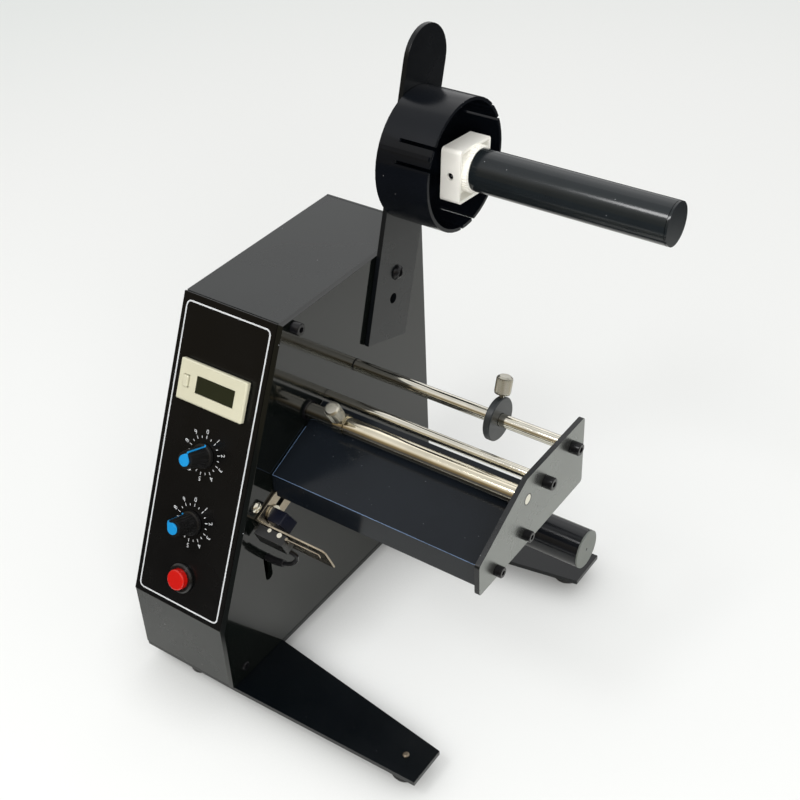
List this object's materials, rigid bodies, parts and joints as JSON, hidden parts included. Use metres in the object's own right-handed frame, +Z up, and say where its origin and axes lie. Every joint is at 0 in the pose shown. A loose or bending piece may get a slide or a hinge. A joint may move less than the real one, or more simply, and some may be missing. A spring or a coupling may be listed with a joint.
{
  "type": "label dispenser",
  "caption": "Desktop label dispenser: slanted control box, reel arm, guide rods, peel shelf, label sensor and powered liner spindle.",
  "frame": {"origin": "centre of the bounding box on the surface the feet stand on", "axes": "+X out along the rollers and the reel, away from the control box; the control panel faces -Y; +Z up"},
  "size_m": [0.234, 0.2362, 0.3445],
  "materials": {
    "gloss_black": "gloss",
    "satin_black": "satin",
    "black_plastic": "satin",
    "black_steel": "satin",
    "nickel": "polished",
    "steel": "brushed",
    "brass": "satin",
    "cream_plastic": "satin",
    "white_plastic": "satin",
    "grey_plastic": "satin",
    "blue_plastic": "gloss",
    "red_plastic": "gloss",
    "dark_glass": "gloss",
    "rubber": "matte",
    "board_green": "satin"
  },
  "bodies": {
    "frame": {"side_plate": "gloss_black", "cover": "gloss_black", "rear_cover": "gloss_black", "outer_plate": "gloss_black", "base_plate": "satin_black", "front_panel": "satin_black", "reel_arm": "satin_black", "peel_shelf": "satin_black", "power_inlet": "black_plastic", "button_bezel": "black_plastic", "side_screw_top": "black_steel", "side_screw_low": "black_steel", "arm_screw": "black_steel", "guide_rod_screw": "black_steel", "tie_rod_screw": "black_steel", "axle_ring": "black_steel", "shelf_screw_front": "black_steel", "shelf_screw_rear": "black_steel", "side_pan_screw": "nickel", "guide_rod": "nickel", "tie_rod": "nickel", "roller_axle": "nickel", "foot_screw_front_tip": "steel", "foot_screw_rear_tip": "steel", "motor_bracket": "steel", "gear_motor": "steel", "upper_knob_pot": "steel", "lower_knob_pot": "steel", "reel_axle": "steel", "spindle_bush": "brass", "counter_case": "cream_plastic", "counter_window": "dark_glass", "foot_front_tip": "rubber", "foot_rear_tip": "rubber", "foot_front_box": "rubber", "foot_rear_box": "rubber", "sensor_cable": "rubber", "control_board": "board_green"},
    "reset_button": {"counter_reset_button": "cream_plastic"},
    "upper_dial": {"upper_knob": "black_plastic", "upper_knob_cap": "blue_plastic"},
    "lower_dial": {"lower_knob": "black_plastic", "lower_knob_cap": "blue_plastic"},
    "push_button": {"start_button": "red_plastic"},
    "spindle": {"rewind_spindle": "satin_black", "liner_clip": "nickel", "spindle_cap": "grey_plastic"},
    "reel": {"reel_drum": "black_plastic", "hub_block": "white_plastic", "reel_tube": "black_plastic", "reel_tube_cap": "black_plastic"},
    "roller": {"front_roller": "nickel"},
    "collar": {"roller_collar": "nickel"},
    "collar_screw": {"collar_thumbscrew": "nickel"},
    "disc": {"guide_disc": "black_plastic"},
    "disc_screw": {"disc_thumbscrew": "nickel"},
    "sensor": {"sensor_bracket": "nickel", "limit_switch": "black_plastic"},
    "lever": {"switch_lever": "nickel"},
    "clamp": {"clamp_knob": "black_plastic"}
  },
  "joints": [
    {"name": "reset_press", "type": "slide", "parent": "frame", "child": "reset_button", "axis": [0, 0.9072, -0.4208], "range_m": [0, 0.0008], "stiffness_N_per_m": 300},
    {"name": "upper_dial_turn", "type": "hinge", "parent": "frame", "child": "upper_dial", "pos_m": [-0.084, -0.07766, 0.14645], "axis": [0, 0.9072, -0.4208], "range_deg": [-14, 310]},
    {"name": "lower_dial_turn", "type": "hinge", "parent": "frame", "child": "lower_dial", "pos_m": [-0.084, -0.09498, 0.1091], "axis": [0, 0.9072, -0.4208], "range_deg": [-302, 22]},
    {"name": "button_press", "type": "slide", "parent": "frame", "child": "push_button", "axis": [0, 0.9072, -0.4208], "range_m": [0, 0.0025], "stiffness_N_per_m": 400},
    {"name": "spindle_spin", "type": "hinge", "parent": "frame", "child": "spindle", "pos_m": [-0.0472, 0.05352, 0.059], "axis": [1, 0, 0], "continuous": true},
    {"name": "reel_spin", "type": "hinge", "parent": "frame", "child": "reel", "pos_m": [-0.0472, 0.07999, 0.27596], "axis": [1, 0, 0], "continuous": true},
    {"name": "roller_spin", "type": "hinge", "parent": "frame", "child": "roller", "pos_m": [-0.0472, -0.02752, 0.16132], "axis": [1, 0, 0], "continuous": true},
    {"name": "collar_slide", "type": "slide", "parent": "frame", "child": "collar", "axis": [1, 0, 0], "range_m": [-0.018, 0]},
    {"name": "collar_screw_turn", "type": "hinge", "parent": "collar", "child": "collar_screw", "pos_m": [-0.023, -0.02752, 0.16132], "axis": [0, -0.4695, 0.8829], "range_deg": [0, 360]},
    {"name": "disc_slide", "type": "slide", "parent": "frame", "child": "disc", "axis": [1, 0, 0], "range_m": [-0.09, 0.04]},
    {"name": "disc_screw_turn", "type": "hinge", "parent": "disc", "child": "disc_screw", "pos_m": [0.0495, 0.01848, 0.16452], "axis": [0, 0.309, 0.9511], "range_deg": [0, 360]},
    {"name": "sensor_slide", "type": "slide", "parent": "frame", "child": "sensor", "axis": [0, 0.9232, 0.3843], "range_m": [-0.015, 0.002], "deforming": ["sensor_cable"]},
    {"name": "lever_swing", "type": "hinge", "parent": "sensor", "child": "lever", "pos_m": [-0.02321, -0.08359, 0.11785], "axis": [0, -0.3843, 0.9232], "range_deg": [-6, 0], "stiffness_Nm_per_rad": 0.05},
    {"name": "clamp_turn", "type": "hinge", "parent": "frame", "child": "clamp", "pos_m": [-0.0472, -0.06817, 0.11484], "axis": [1, 0, 0], "range_deg": [0, 360]}
  ]
}
